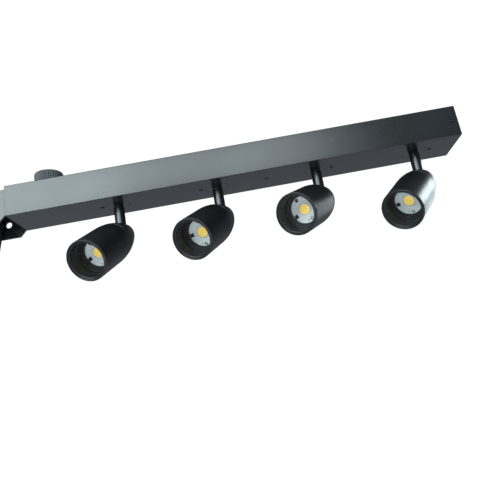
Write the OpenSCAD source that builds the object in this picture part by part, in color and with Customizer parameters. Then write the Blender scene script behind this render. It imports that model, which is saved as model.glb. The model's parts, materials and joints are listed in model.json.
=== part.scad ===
/* [Bar] */
// Length of the bar
bar_l = 600; // [560:1:760]
// Width of the bar, front to back
bar_w = 65; // [62:1:90]
// Height of the bar
bar_h = 42; // [38:1:60]
// Wall of the bar channel
bar_wall = 1.6; // [1.2:0.1:2.2]
// Thickness of the bottom cover above the lips
cover_t = 1.5; // [1:0.1:2.5]
// Width of the lips that hold the bottom cover's edges
lip_w = 1.2; // [0.8:0.1:2]
// Thickness of the lips that hold the bottom cover's edges
lip_t = 1; // [0.8:0.1:1.6]
// Width of the ribs that hold the bottom cover down
rib_w = 3; // [2:0.5:5]
// Thickness of the end cap's plate
cap_t = 2; // [1.5:0.5:4]
// Distance of the end cap's screws from the end of the bar
cap_screw_inset = 8.7; // [7:0.1:14]

/* [Heads along the bar] */
// Distance from the bar's hub end to the first head
first_head = 139; // [120:1:160]
// Distance from one head to the next
head_pitch = 135; // [120:1:150]
// Turn of each head away from straight ahead, as it stands
head_pan = [19.5, 26, 32, 42];
// Angle of each head below level, as it stands
head_tilt = [31.5, 29, 23.5, 33];
// Turn of each LED holder in its head, as it is screwed in
board_turn = [200, 179, 203, 177];

/* [Swivel] */
// Radius of the flush swivel disc
disc_r = 16; // [14:0.5:19]
// How far the disc's hidden flange reaches past its edge
disc_flange = 2.5; // [1.5:0.5:4]
// Thickness of the disc's hidden flange
flange_t = 1.5; // [1:0.1:2.5]
// Distance from the swivel to the screw that holds its disc
disc_screw_d = 22; // [20:0.5:26]
// Radius of the threaded nipple
nipple_r = 5; // [4:0.1:6]
// Bore of the nipple that the lead runs in, as a radius
lead_bore_r = 3; // [2.2:0.1:3.4]
// Radius of the lead
lead_r = 2; // [1.2:0.1:2.1]
// Radius of the stem
stem_r = 7; // [6.5:0.1:9]
// Distance from the underside of the bar to the top of the stem
stem_gap = 3; // [2:0.1:5]
// Distance from the underside of the bar to the tilt pin
pivot_drop = 43.2; // [36:0.1:60]
// Thickness of the stem's flat tongue
tongue_t = 8; // [6:0.1:9]
// Radius of the tongue's round end
tongue_r = 6; // [5:0.1:6.5]
// Radius of the tilt pin
pin_r = 2; // [1.5:0.1:2.6]

/* [Head] */
// Outer radius of the barrel
head_r = 26; // [24:0.1:32]
// Outer radius of the barrel's rear end
rear_r = 12; // [11:0.1:14]
// Distance from the tilt pin to the front rim
head_front = 94.6; // [86:0.1:120]
// Distance from the tilt pin to the rear end
head_rear = 12; // [10:0.1:16]
// Distance from the tilt pin to where the barrel starts to narrow
taper_start = 44; // [36:0.1:50]
// Wall of the barrel
barrel_wall = 2.2; // [1.6:0.1:3]
// Thickness of the rear cap
rear_cap_t = 3; // [2:0.1:4]
// Depth of the light source behind the front rim
led_depth = 28; // [24:0.1:34]
// Radius of the white LED holder
holder_r = 19; // [17:0.1:20]
// Thickness of the LED holder
holder_t = 2.5; // [2:0.1:4]
// Radius of the light emitting surface
emitter_r = 6.5; // [5:0.1:8]
// Radius of the baffle's open bore
baffle_bore_r = 21.6; // [20.8:0.1:22.4]
// Set-back of the baffle's edge behind the front rim
baffle_set_back = 0.8; // [0.5:0.1:2]

/* [Hub] */
// Length of the hub beside the bar
hub_l = 100; // [90:1:140]
// Wall of the hub
hub_wall = 3; // [2.5:0.1:4]
// How far the hub reaches below the bar
hub_below = 8.3; // [6:0.1:14]
// Size of the slanted corners of the hub's cheeks
hub_corner = 9.5; // [6:0.1:12]
// Length of the tongue that the bar slides on
tenon_l = 80; // [70:1:100]
// Radius of the mounting bores
bore_r = 4.5; // [3:0.1:6]
// Distance from the end of the bar to the first mounting bore
bore_inset = 25; // [22:0.5:30]
// Distance between the two mounting bores
bore_spacing = 50; // [48:1:64]
// Height of the mounting bores above the underside of the bar
bore_up = 12; // [8:0.5:16]

/* [Clamp knob] */
// Radius of the knob
knob_r = 19; // [16:0.5:24]
// Height of the knob above the bar
knob_h = 21; // [16:0.5:28]
// Number of ribs round the knob
knob_ribs = 52; // [24:1:60]
// Distance from the end of the bar to the knob
knob_inset = 48; // [40:0.5:55]
// Radius of the knob's threaded stud
stud_r = 4; // [3:0.1:5]
// Thickness of the threaded clamp plate
plate_t = 3; // [2:0.1:5]

/* [Lever] */
// Radius of the lever round its pin
lever_r = 19.5; // [16:0.1:20]
// Radius of the lever's free end
lever_tip_r = 12.5; // [8:0.1:14]
// Distance from the lever's pin to the centre of its free end
lever_l = 32; // [26:0.5:40]
// Thickness of the lever
lever_t = 6; // [4:0.1:8]
// Drop of the lever's pin below the mounting bores
lever_pin_drop = 2; // [0:0.1:3]
// Radius of the lever's pin
lever_pin_r = 4; // [3:0.1:5]
// Thickness of each washer beside the lever
washer_t = 1.8; // [1:0.1:2.5]

/* [Hidden] */
heads = 4;
$fn = 48;
eps = 0.01;

// Clearances, each as a gap on one side
running_fit = 0.05;      // a shaft that turns in its bore
seat_fit = 0.02;         // a pin or thread that stays put
slip = 0.2;              // pieces that slide together in assembly
air = 0.3;               // pieces that pass each other

// Places along the bar, from the first mounting bore at the origin
bar_x = bore_inset;
bar_end = bar_x + bar_l;
bar_z = -bore_up;
bar_top = bar_z + bar_h;
ceiling_z = bar_top - bar_wall;
cover_z = bar_z;
cover_top = cover_z + lip_t + cover_t;
rib_z = cover_top + slip;
rib_t = 1.5;
rib_top = rib_z + rib_t;
head_x = [for (i = [0 : heads - 1]) bar_x + first_head + i * head_pitch];
middle_x = (head_x[0] + head_x[heads - 1]) / 2;
inner_w = bar_w - 2 * bar_wall;
between_lips = inner_w - 2 * lip_w - 2 * slip;
cap_screw_z = bar_z + bar_h / 2;

// Screws: low pan heads on the cover and the end cap, and the same ones inside the bar
screw_r = 1.5;
screw_head_r = 2.8;
screw_head_t = 0.8;
screw_l = 7;
post_r = 4.5;

// Hub and clamp
hub_top = ceiling_z - plate_t - air;
hub_z = bar_z - hub_below;
hub_x0 = bar_x - hub_l;
hub_x1 = bar_x - air;
cheek_y = bar_w / 2 - hub_wall;
tenon_w = inner_w - 2 * slip;
tenon_overlap = 6;
knob_x = bar_x + knob_inset;
knob_gap = 0.3;
collar_r = 10;
collar_h = 1.5;
plate_l = 44;

// Lever on the inside of the rear cheek, halfway between the mounting bores
lever_x = -bore_spacing / 2;
lever_z = -lever_pin_drop;
side_gap = 0.1;
rear_washer_y = cheek_y - washer_t;
lever_y = rear_washer_y - side_gap - lever_t;
front_washer_y = lever_y - side_gap - washer_t;
rivet_head_t = 2.4;
rivet_head_r = 7;

// Swivel
disc_gap = 0.4;
flange_z = cover_top;
flange_top = flange_z + flange_t;
neck_r = stem_r - 1;
stem_top = bar_z - stem_gap;
pivot_z = bar_z - pivot_drop;
nut_h = 5;
nut_across = 2 * nipple_r + 7;
nut_z = flange_top + air;
nipple_top = nut_z + nut_h + 2;
socket_l = 8;
tongue_top = pivot_z + tongue_r + 4;
lead_exit_z = tongue_top + 5;

// Head, with its own axis along +Z and the stem's side at +Y
taper = function (s) s >= taper_start ? head_r
    : head_r - (head_r - rear_r) * pow((taper_start - s) / (taper_start + head_rear), 2);
barrel_inner_r = head_r - barrel_wall;
slot_r = stem_r + 0.6;
cap_seam = -head_rear + rear_cap_t;
led_s = head_front - led_depth;
holder_s = led_s - holder_t;
sink_front_t = 6;
sink_rear_s = 12;
sink_rear_t = 4;
sink_core_r = 10;
fin_t = 1.6;
fin_count = 6;
ear_t = 3;
ear_gap = air;
ear_r = tongue_r;
baffle_r = barrel_inner_r - slip;
chip_r = emitter_r + 0.9;
board_screw_d = 14.5;
board_screw_r = 2.4;

// Electrical pieces inside the bar
driver_l = 84;
driver_w = 40;
driver_h = 24;
driver_tab = 2 * post_r + 1.5;
driver_x = (head_x[2] + head_x[3]) / 2;
block_l = 30;
block_w = 22;
block_h = 12;
block_x = (head_x[0] + head_x[1]) / 2;
inner_post_l = 4;
tab_t = 2;
inner_screw_x = [driver_x - (driver_l - driver_tab) / 2, driver_x + (driver_l - driver_tab) / 2, block_x];
trunk_r = 2.5;
trunk_y = inner_w / 2 - rib_w - trunk_r - 1.5;
trunk_z = nipple_top + trunk_r + 2;

// A box from one corner to the opposite one
module box(low, high) {
    translate(low) cube(high - low);
}

// A round rod along X, Y or Z from its own start point
module rod_x(at, r, l) {
    translate(at) rotate([0, 90, 0]) cylinder(r = r, h = l);
}

module rod_y(at, r, l) {
    translate(at) rotate([-90, 0, 0]) cylinder(r = r, h = l);
}

module rod_z(at, r, l) {
    translate(at) cylinder(r = r, h = l);
}

// Side of the bar that a head's disc screw stands on: away from the middle
function outward(i) = head_x[i] < middle_x ? -1 : 1;

// Turns children built round the bar's own vertical to head i's pan
module at_swivel(i) {
    translate([head_x[i], 0, 0]) rotate([0, 0, -head_pan[i]]) children();
}

// Carries children from the head's own frame to where head i stands
module at_head(i) {
    translate([head_x[i], 0, pivot_z]) rotate([0, 0, -head_pan[i]])
        rotate([90 + head_tilt[i], 0, 0]) children();
}

// ---- Bar ----

module channel_body() {
    color("#2b2e31") difference() {
        union() {
            difference() {
                box([bar_x, -bar_w / 2, bar_z], [bar_end, bar_w / 2, bar_top]);
                box([bar_x - 1, -inner_w / 2, bar_z - 1], [bar_end + 1, inner_w / 2, ceiling_z]);
            }
            for (side = [-1, 1]) {
                translate([0, side * (inner_w / 2 - lip_w / 2 + eps / 2), 0])
                    box([bar_x, -lip_w / 2 - eps / 2, bar_z], [bar_end, lip_w / 2 + eps / 2, bar_z + lip_t]);
                translate([0, side * (inner_w / 2 - rib_w / 2 + eps / 2), 0])
                    box([bar_x, -rib_w / 2 - eps / 2, rib_z],
                        [bar_end - cap_t - slip, rib_w / 2 + eps / 2, rib_top]);
            }
            // post for the cover's centre screw, and short posts for the driver and the terminal block
            rod_z([middle_x, 0, cover_top + slip], post_r, ceiling_z - cover_top - slip + eps);
            for (x = inner_screw_x) rod_z([x, 0, ceiling_z - inner_post_l], post_r, inner_post_l + eps);
        }
        rod_z([middle_x, 0, cover_z], screw_r + seat_fit, screw_l + 3);
        for (x = inner_screw_x) rod_z([x, 0, ceiling_z - inner_post_l - 1], screw_r + seat_fit, inner_post_l);
        rod_z([knob_x, 0, ceiling_z - 1], stud_r + 0.5, bar_wall + 2);
        for (side = [-1, 1])
            translate([bar_end - cap_screw_inset, side * (bar_w / 2 - bar_wall / 2), cap_screw_z])
                rotate([90, 0, 0]) cylinder(r = screw_r + slip, h = bar_wall + 2, center = true);
    }
}

module bottom_cover() {
    color("#3a3e43") difference() {
        union() {
            box([bar_x, -inner_w / 2 + slip, cover_z + lip_t],
                [bar_end - cap_t - slip, inner_w / 2 - slip, cover_top]);
            // the middle of the cover is flush with the underside of the bar
            box([bar_x, -between_lips / 2, cover_z],
                [bar_end - cap_t - slip, between_lips / 2, cover_z + lip_t + eps]);
        }
        for (i = [0 : heads - 1]) {
            rod_z([head_x[i], 0, cover_z - 1], disc_r, cover_top - cover_z + 2);
            rod_z([head_x[i] + outward(i) * disc_screw_d, 0, cover_z - 1], screw_r + slip,
                cover_top - cover_z + 2);
        }
        rod_z([middle_x, 0, cover_z - 1], screw_r + slip, cover_top - cover_z + 2);
    }
}

module end_cap() {
    lug_l = 2 * cap_screw_inset - cap_t;
    lug_t = 6;
    lug_h = 16;
    color("#2b2e31") difference() {
        union() {
            box([bar_end - cap_t, -inner_w / 2 + slip, bar_z + lip_t + slip],
                [bar_end, inner_w / 2 - slip, ceiling_z - slip]);
            box([bar_end - cap_t, -between_lips / 2, bar_z],
                [bar_end, between_lips / 2, bar_z + lip_t + slip + eps]);
            for (side = [-1, 1])
                translate([0, side * (inner_w / 2 - slip - lug_t / 2), 0])
                    box([bar_end - cap_t - lug_l, -lug_t / 2, cap_screw_z - lug_h / 2],
                        [bar_end - cap_t + eps, lug_t / 2, cap_screw_z + lug_h / 2]);
        }
        for (side = [-1, 1])
            translate([bar_end - cap_screw_inset, side * (inner_w / 2 - slip - lug_t / 2), cap_screw_z])
                rotate([90, 0, 0]) cylinder(r = screw_r + seat_fit, h = lug_t + 1, center = true);
    }
}

// A pan head screw whose head's underside is at z = 0, with its shank upwards
module pan_screw(l) {
    union() {
        rod_z([0, 0, -eps], screw_r, l);
        difference() {
            rod_z([0, 0, -screw_head_t], screw_head_r, screw_head_t);
            for (turn = [0, 90]) rotate([0, 0, turn])
                box([-1.4, -0.25, -screw_head_t - 1], [1.4, 0.25, -screw_head_t * 0.4]);
        }
    }
}

module end_cap_screws() {
    color("#5a5e62") for (side = [-1, 1])
        translate([bar_end - cap_screw_inset, side * bar_w / 2, cap_screw_z]) rotate([side * 90, 0, 0])
            pan_screw(screw_l);
}

module cover_screws() {
    color("#5a5e62") {
        for (i = [0 : heads - 1])
            translate([head_x[i] + outward(i) * disc_screw_d, 0, cover_z]) pan_screw(screw_l);
        translate([middle_x, 0, cover_z]) pan_screw(screw_l);
    }
}

module swivel_discs() {
    ear_half = 4;
    color("#34373b") for (i = [0 : heads - 1]) translate([head_x[i], 0, 0]) difference() {
        union() {
            rod_z([0, 0, cover_z], disc_r - disc_gap, flange_z - cover_z + eps);
            rod_z([0, 0, flange_z], disc_r + disc_flange, flange_t);
            rod_z([outward(i) * disc_screw_d, 0, flange_z], ear_half, flange_t);
            translate([outward(i) * disc_screw_d / 2, 0, flange_z + flange_t / 2])
                cube([disc_screw_d, 2 * ear_half, flange_t], center = true);
        }
        rod_z([0, 0, cover_z - 1], nipple_r + running_fit, flange_top - cover_z + 2);
        rod_z([outward(i) * disc_screw_d, 0, flange_z - 1], screw_r + seat_fit, flange_t + 2);
    }
}

module led_driver() {
    post_z = ceiling_z - inner_post_l;
    color("#e8e8e4") difference() {
        union() {
            box([driver_x - driver_l / 2 + driver_tab, -driver_w / 2, ceiling_z - slip - driver_h],
                [driver_x + driver_l / 2 - driver_tab, driver_w / 2, ceiling_z - slip]);
            box([driver_x - driver_l / 2, -driver_w / 4, post_z - tab_t],
                [driver_x + driver_l / 2, driver_w / 4, post_z]);
        }
        for (k = [0, 1]) rod_z([inner_screw_x[k], 0, post_z - tab_t - 1], screw_r + slip, tab_t + 2);
    }
}

module terminal_block() {
    post_z = ceiling_z - inner_post_l;
    color("#efeeea") difference() {
        box([block_x - block_l / 2, -block_w / 2, post_z - block_h],
            [block_x + block_l / 2, block_w / 2, post_z]);
        rod_z([block_x, 0, post_z - block_h - 1], screw_r + slip, block_h + 2);
        rod_z([block_x, 0, post_z - block_h - 1], screw_head_r + slip, block_h - tab_t + 1);
        // wire entries, front and rear
        for (k = [-1, 1], side = [-1, 1])
            rod_y([block_x + k * block_l / 3, side * block_w / 2 - 4, post_z - block_h / 2], 1.8, 8);
    }
}

module inner_screws() {
    color("#b9bcc0") for (x = inner_screw_x)
        translate([x, 0, ceiling_z - inner_post_l - tab_t]) pan_screw(tab_t + inner_post_l - 1.5);
}

module bar_wiring() {
    wire_end_x = driver_x - driver_l / 2 + driver_tab - slip;
    color("#d9d9d6") {
        union() {
            rod_x([head_x[0], trunk_y, trunk_z], trunk_r, wire_end_x - head_x[0] - 8);
            for (i = [0 : 2]) {
                translate([head_x[i], trunk_y, trunk_z]) sphere(r = trunk_r);
                rod_y([head_x[i], 0, trunk_z], lead_r, trunk_y);
                translate([head_x[i], 0, trunk_z]) sphere(r = lead_r);
                rod_z([head_x[i], 0, nipple_top + air], lead_r, trunk_z - nipple_top - air);
            }
        }
        union() {
            translate([head_x[3], 0, trunk_z]) sphere(r = lead_r);
            rod_x([driver_x + driver_l / 2 - driver_tab + slip, 0, trunk_z], lead_r,
                head_x[3] - driver_x - driver_l / 2 + driver_tab - slip);
            rod_z([head_x[3], 0, nipple_top + air], lead_r, trunk_z - nipple_top - air);
        }
    }
}

// ---- Hub ----

module cheek_outline() {
    polygon([[hub_x0, hub_top], [hub_x1, hub_top], [hub_x1, hub_z + hub_corner],
        [hub_x1 - hub_corner, hub_z], [hub_x0 + hub_corner, hub_z], [hub_x0, hub_z + hub_corner]]);
}

module hub_bracket() {
    tenon_x0 = hub_x1 - tenon_overlap;
    tenon_x1 = bar_x + tenon_l;
    tenon_z = rib_top + slip;
    color("#2b2e31") difference() {
        union() {
            for (y = [-bar_w / 2, cheek_y])
                translate([0, y + hub_wall, 0]) rotate([90, 0, 0]) linear_extrude(hub_wall) cheek_outline();
            box([hub_x0, -bar_w / 2, hub_top - hub_wall], [hub_x1, bar_w / 2, hub_top]);
            box([hub_x0, -bar_w / 2, hub_z + hub_corner], [hub_x0 + hub_wall, bar_w / 2, hub_top]);
            // tongue inside the bar
            difference() {
                box([tenon_x0, -tenon_w / 2, tenon_z], [tenon_x1, tenon_w / 2, hub_top]);
                box([tenon_x0 - 1, -tenon_w / 2 + hub_wall, tenon_z - 1],
                    [tenon_x1 + 1, tenon_w / 2 - hub_wall, hub_top - hub_wall]);
            }
        }
        for (x = [0, -bore_spacing]) rod_y([x, -bar_w / 2 - 1, 0], bore_r, bar_w + 2);
        rod_y([lever_x, cheek_y - 1, lever_z], lever_pin_r + seat_fit, hub_wall + 2);
    }
}

module clamp_plate() {
    color("#8f9397") difference() {
        box([knob_x - plate_l / 2, -plate_l / 2, ceiling_z - plate_t],
            [knob_x + plate_l / 2, plate_l / 2, ceiling_z]);
        rod_z([knob_x, 0, ceiling_z - plate_t - 1], stud_r + running_fit, plate_t + 2);
    }
}

module clamp_knob() {
    groove_r = PI * knob_r / knob_ribs / 2;
    base_z = bar_top + knob_gap;
    top_z = bar_top + knob_h;
    stud_tip = hub_top + air / 2;
    color("#34373b") translate([knob_x, 0, 0]) difference() {
        union() {
            rod_z([0, 0, stud_tip], stud_r, base_z - stud_tip + eps);
            rod_z([0, 0, base_z], collar_r, collar_h + eps);
            rotate_extrude($fn = 96) polygon([[0, base_z + collar_h], [knob_r - 0.8, base_z + collar_h],
                [knob_r, base_z + collar_h + 0.8], [knob_r, top_z - 1.6],
                [knob_r - 0.5, top_z - 0.5], [knob_r - 1.6, top_z], [0, top_z]]);
        }
        for (k = [0 : knob_ribs - 1]) rotate([0, 0, k * 360 / knob_ribs])
            rod_z([knob_r + groove_r * 0.3, 0, base_z + collar_h - 1], groove_r, knob_h, $fn = 16);
    }
}

// Outline of the lever: an arc round the pin, an arc round the free end, and the two lines that touch both
function lever_outline(steps = 24) =
    let (lean = asin((lever_r - lever_tip_r) / lever_l))
    concat(
        [for (k = [0 : steps]) let (a = -lean + k * (180 + 2 * lean) / steps)
            [lever_x + lever_r * cos(a), lever_z + lever_r * sin(a)]],
        [for (k = [0 : steps]) let (a = 180 + lean + k * (180 - 2 * lean) / steps)
            [lever_x + lever_tip_r * cos(a), lever_z - lever_l + lever_tip_r * sin(a)]]);

module hub_lever() {
    color("#1c1e20") translate([0, lever_y + lever_t, 0]) rotate([90, 0, 0]) difference() {
        linear_extrude(lever_t) polygon(lever_outline());
        translate([lever_x, lever_z, -1]) cylinder(r = lever_pin_r + running_fit, h = lever_t + 2);
    }
}

module lever_pin() {
    head_y = front_washer_y - side_gap - rivet_head_t;
    color("#7d8185") union() {
        rod_y([lever_x, head_y, lever_z], rivet_head_r, rivet_head_t);
        rod_y([lever_x, head_y, lever_z], lever_pin_r, bar_w / 2 - head_y);
    }
}

module lever_washers() {
    color("#b9bcc0") for (y = [front_washer_y, rear_washer_y]) difference() {
        rod_y([lever_x, y, lever_z], lever_pin_r + 5, washer_t - eps);
        rod_y([lever_x, y - 1, lever_z], lever_pin_r + slip, washer_t + 2);
    }
}

// ---- Swivel of head i ----

module nipple(i) {
    color("#3c3f43") at_swivel(i) difference() {
        union() {
            rod_z([0, 0, stem_top - socket_l], nipple_r, nipple_top - stem_top + socket_l);
            rod_z([0, 0, stem_top], neck_r, cover_z - air - stem_top);
        }
        rod_z([0, 0, stem_top - socket_l - 1], lead_bore_r, nipple_top - stem_top + socket_l + 2);
    }
}

module nipple_nut(i) {
    color("#b9bcc0") at_swivel(i) difference() {
        translate([0, 0, nut_z]) cylinder(r = nut_across / 2 / cos(30), h = nut_h, $fn = 6);
        rod_z([0, 0, nut_z - 1], nipple_r + seat_fit, nut_h + 2);
    }
}

module stem(i) {
    color("#26292c") at_swivel(i) difference() {
        union() {
            rod_z([0, 0, tongue_top], stem_r, stem_top - slip - tongue_top);
            intersection() {
                rod_z([0, 0, pivot_z - tongue_r], stem_r, tongue_top - pivot_z + tongue_r + eps);
                union() {
                    rod_x([-tongue_t / 2, 0, pivot_z], tongue_r, tongue_t);
                    box([-tongue_t / 2, -tongue_r, pivot_z], [tongue_t / 2, tongue_r, tongue_top + eps]);
                }
            }
        }
        rod_z([0, 0, stem_top - socket_l - slip], nipple_r + seat_fit, socket_l + 1);
        rod_z([0, 0, lead_exit_z - lead_bore_r], lead_bore_r, stem_top - lead_exit_z);
        rod_y([0, 0, lead_exit_z], lead_bore_r, stem_r + 1);
        rod_x([-tongue_t, 0, pivot_z], pin_r + running_fit, 2 * tongue_t);
    }
}

module lead(i) {
    color("#d9d9d6") at_swivel(i) union() {
        rod_z([0, 0, lead_exit_z], lead_r, nipple_top - lead_exit_z);
        translate([0, 0, lead_exit_z]) sphere(r = lead_r);
        rod_y([0, 0, lead_exit_z], lead_r, stem_r - 1);
    }
}

// ---- Head i ----

// The slot that lets the stem swing from square to the head to straight behind it
module stem_slot() {
    reach = head_r + head_rear;
    box([-slot_r, 0, -reach], [slot_r, reach, 0]);
    rod_y([0, 0, 0], slot_r, reach);
    rod_z([0, 0, -reach], slot_r, reach);
}

// Outline from one place along the head's axis to another, moved inwards by an inset
function outline(from, to, inset, steps = 14) =
    [for (k = [0 : steps]) let (s = from + (to - from) * k / steps) [taper(s) - inset, s]];

module barrel(i) {
    rim = 0.5;
    color("#222528") at_head(i) difference() {
        rotate_extrude($fn = 96) polygon(concat(
            outline(cap_seam, taper_start, 0),
            [[head_r, head_front - rim], [head_r - rim, head_front], [barrel_inner_r, head_front]],
            outline(taper_start, cap_seam, barrel_wall)));
        stem_slot();
    }
}

module rear_cap(i) {
    spigot_l = 3;
    spigot_t = 1.5;
    spigot_r = taper(cap_seam) - barrel_wall - slip;
    chamfer = 0.8;
    color("#222528") at_head(i) difference() {
        rotate_extrude($fn = 96) polygon([[0, -head_rear], [rear_r - chamfer, -head_rear],
            [rear_r, -head_rear + chamfer], [taper(cap_seam), cap_seam], [spigot_r, cap_seam],
            [spigot_r, cap_seam + spigot_l], [spigot_r - spigot_t, cap_seam + spigot_l],
            [spigot_r - spigot_t, cap_seam], [0, cap_seam]]);
        stem_slot();
    }
}

// Half the profile of the finned core: a plate behind the LED, round fins and a rear plate
function fin_s(k) = sink_rear_s + sink_rear_t
    + (k + 1) * (holder_s - sink_front_t - sink_rear_s - sink_rear_t) / (fin_count + 1);
function sink_r(s) = taper(s) - barrel_wall - air;

module heat_sink(i) {
    front = holder_s - eps;
    color("#a9adb1") at_head(i) difference() {
        union() {
            rotate_extrude($fn = 64) polygon(concat(
                [[0, sink_rear_s], [sink_r(sink_rear_s), sink_rear_s],
                 [sink_r(sink_rear_s), sink_rear_s + sink_rear_t], [sink_core_r, sink_rear_s + sink_rear_t]],
                [for (k = [0 : fin_count - 1], corner = [0 : 3])
                    [corner == 0 || corner == 3 ? sink_core_r : sink_r(fin_s(k) - fin_t / 2),
                     fin_s(k) + (corner < 2 ? -1 : 1) * fin_t / 2]],
                [[sink_core_r, front - sink_front_t], [barrel_inner_r - air, front - sink_front_t],
                 [barrel_inner_r - air, front], [0, front]]));
            for (side = [-1, 1]) translate([side * (tongue_t / 2 + ear_gap + ear_t / 2), 0, 0]) {
                rod_x([-ear_t / 2, 0, 0], ear_r, ear_t);
                box([-ear_t / 2, -ear_r, 0], [ear_t / 2, ear_r, sink_rear_s + eps]);
            }
        }
        rod_x([-head_r, 0, 0], pin_r + seat_fit, 2 * head_r);
    }
}

module pivot_pin(i) {
    half = tongue_t / 2 + ear_gap + ear_t;
    color("#b9bcc0") at_head(i) rod_x([-half, 0, 0], pin_r, 2 * half);
}

module led_holder(i) {
    color("#f4f4f0") at_head(i) difference() {
        rotate_extrude($fn = 64) polygon([[chip_r + slip, holder_s], [holder_r, holder_s],
            [holder_r, led_s - 0.4], [holder_r - 0.4, led_s], [chip_r + 2, led_s],
            [chip_r + slip, led_s - 1.2]]);
        // two screw recesses
        for (side = [-90, 90]) rotate([0, 0, board_turn[i] + side])
            rod_z([board_screw_d, 0, led_s - 1.2], board_screw_r, 2);
    }
}

module led_chip(i) {
    dam_t = 1.5;
    color("#f2d468") at_head(i) union() {
        rod_z([0, 0, holder_s], chip_r, dam_t);
        rod_z([0, 0, holder_s], emitter_r, dam_t + 0.4);
    }
}

// The deep black tube in front of the LED, with stepped rings at its inner end
module baffle(i) {
    step_l = 2.4;
    step_in = 1.5;
    steps = 3;
    inner_end = led_s + 0.3;
    outer = head_front - baffle_set_back;
    color("#141517") at_head(i) rotate_extrude($fn = 96) polygon(concat(
        [[baffle_r, outer], [baffle_r, inner_end], [baffle_bore_r - steps * step_in, inner_end]],
        [for (k = [0 : steps - 1], corner = [0, 1])
            [baffle_bore_r - (steps - k - corner) * step_in, inner_end + (k + 1) * step_l]],
        [[baffle_bore_r, outer - 0.6], [baffle_bore_r + 0.6, outer]]));
}

channel_body();
bottom_cover();
end_cap();
end_cap_screws();
cover_screws();
swivel_discs();
led_driver();
inner_screws();
terminal_block();
bar_wiring();
hub_bracket();
clamp_plate();
clamp_knob();
hub_lever();
lever_pin();
lever_washers();
for (i = [0 : heads - 1]) {
    nipple(i);
    nipple_nut(i);
    stem(i);
    lead(i);
    pivot_pin(i);
    barrel(i);
    rear_cap(i);
    heat_sink(i);
    led_holder(i);
    led_chip(i);
    baffle(i);
}
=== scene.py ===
"""Spot bar: a black ceiling bar with four swivelling spot heads, and a hub with a lever and a clamp knob.

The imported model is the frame. This file builds finer surfaces over it, gives every part its finish, and sets
up the studio. Lengths are metres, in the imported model's own frame: X along the bar, Z up, heads facing -Y.
"""

import json
import math

import bpy
import numpy as np
from mathutils import Matrix, Vector


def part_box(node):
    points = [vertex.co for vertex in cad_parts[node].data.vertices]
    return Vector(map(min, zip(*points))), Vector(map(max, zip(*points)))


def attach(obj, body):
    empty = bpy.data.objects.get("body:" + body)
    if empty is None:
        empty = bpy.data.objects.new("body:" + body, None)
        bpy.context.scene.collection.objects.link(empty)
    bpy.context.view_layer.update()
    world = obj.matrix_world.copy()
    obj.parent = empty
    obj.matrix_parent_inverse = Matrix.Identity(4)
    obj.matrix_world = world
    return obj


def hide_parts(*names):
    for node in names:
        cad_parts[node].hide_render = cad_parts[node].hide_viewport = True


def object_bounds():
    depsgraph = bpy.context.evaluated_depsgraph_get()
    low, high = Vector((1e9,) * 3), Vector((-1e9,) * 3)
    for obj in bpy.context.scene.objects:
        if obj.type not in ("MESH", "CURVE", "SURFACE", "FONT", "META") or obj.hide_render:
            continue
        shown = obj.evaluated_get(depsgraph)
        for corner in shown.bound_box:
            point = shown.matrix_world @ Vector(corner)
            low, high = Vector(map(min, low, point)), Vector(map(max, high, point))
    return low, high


bl_info = {
    "name": "Spot Bar",
    "version": (1, 0, 0),
    "blender": (4, 5, 0),
    "location": "3D View > Sidebar > Spot Bar",
    "description": "Builds the visible surfaces, finishes and studio of a four-head spot bar",
    "category": "Object",
}

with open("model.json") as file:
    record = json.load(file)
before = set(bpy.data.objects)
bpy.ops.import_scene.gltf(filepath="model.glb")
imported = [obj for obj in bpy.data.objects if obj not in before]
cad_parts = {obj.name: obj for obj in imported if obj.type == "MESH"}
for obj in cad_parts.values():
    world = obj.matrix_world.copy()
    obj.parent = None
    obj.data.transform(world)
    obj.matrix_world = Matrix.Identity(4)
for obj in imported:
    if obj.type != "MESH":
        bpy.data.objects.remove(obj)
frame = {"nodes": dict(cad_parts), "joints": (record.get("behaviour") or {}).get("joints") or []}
CAD_LOW, CAD_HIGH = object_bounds()
MM = 0.001
JOINTS = {joint["name"]: joint for joint in frame["joints"]}
HEADS = tuple(range(1, 1 + sum(name.startswith("tilt_") for name in JOINTS)))
UP = np.array([0.0, 0.0, 1.0])
MATERIALS = {}
# Points of a part that are nearer than this become one
WELD = 2e-8


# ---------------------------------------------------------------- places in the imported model


def node_points(node):
    """All the corners of a CAD node as an array of points."""
    mesh = frame["nodes"][node].data
    flat = np.zeros(len(mesh.vertices) * 3, np.float32)
    mesh.vertices.foreach_get("co", flat)
    return flat.reshape(-1, 3).astype(float)


def node_box(node):
    """Lowest and highest corner of a CAD node as arrays."""
    low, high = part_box(node)
    return np.array(low), np.array(high)


def head_axes(i):
    """Origin and axes of head i: X is its tilt axis, Z points out of the rim, Y is the stem's side.

    The level direction is X cross up. Turning it down by the tilt t gives Z = cos t * level - sin t * up,
    and Y = Z cross X.
    """
    joint = JOINTS[f"tilt_{i}"]
    across = np.array(joint["axis"], float)
    tilt = math.radians(-joint["range_deg"][0])
    level = np.cross(across, UP)
    out = math.cos(tilt) * level - math.sin(tilt) * UP
    return np.array(joint["pos_m"], float), np.stack([across, np.cross(out, across), out])


def head_points(node, i):
    """A node's corners as distances along head i's own axes."""
    origin, axes = head_axes(i)
    return (node_points(node) - origin) @ axes.T


def reach(node, i):
    """Largest radius, and the first and last place along head i's axis, of a node."""
    p = head_points(node, i)
    return np.hypot(p[:, 0], p[:, 1]).max(), p[:, 2].min(), p[:, 2].max()


# ---------------------------------------------------------------- surfaces as arrays


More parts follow.
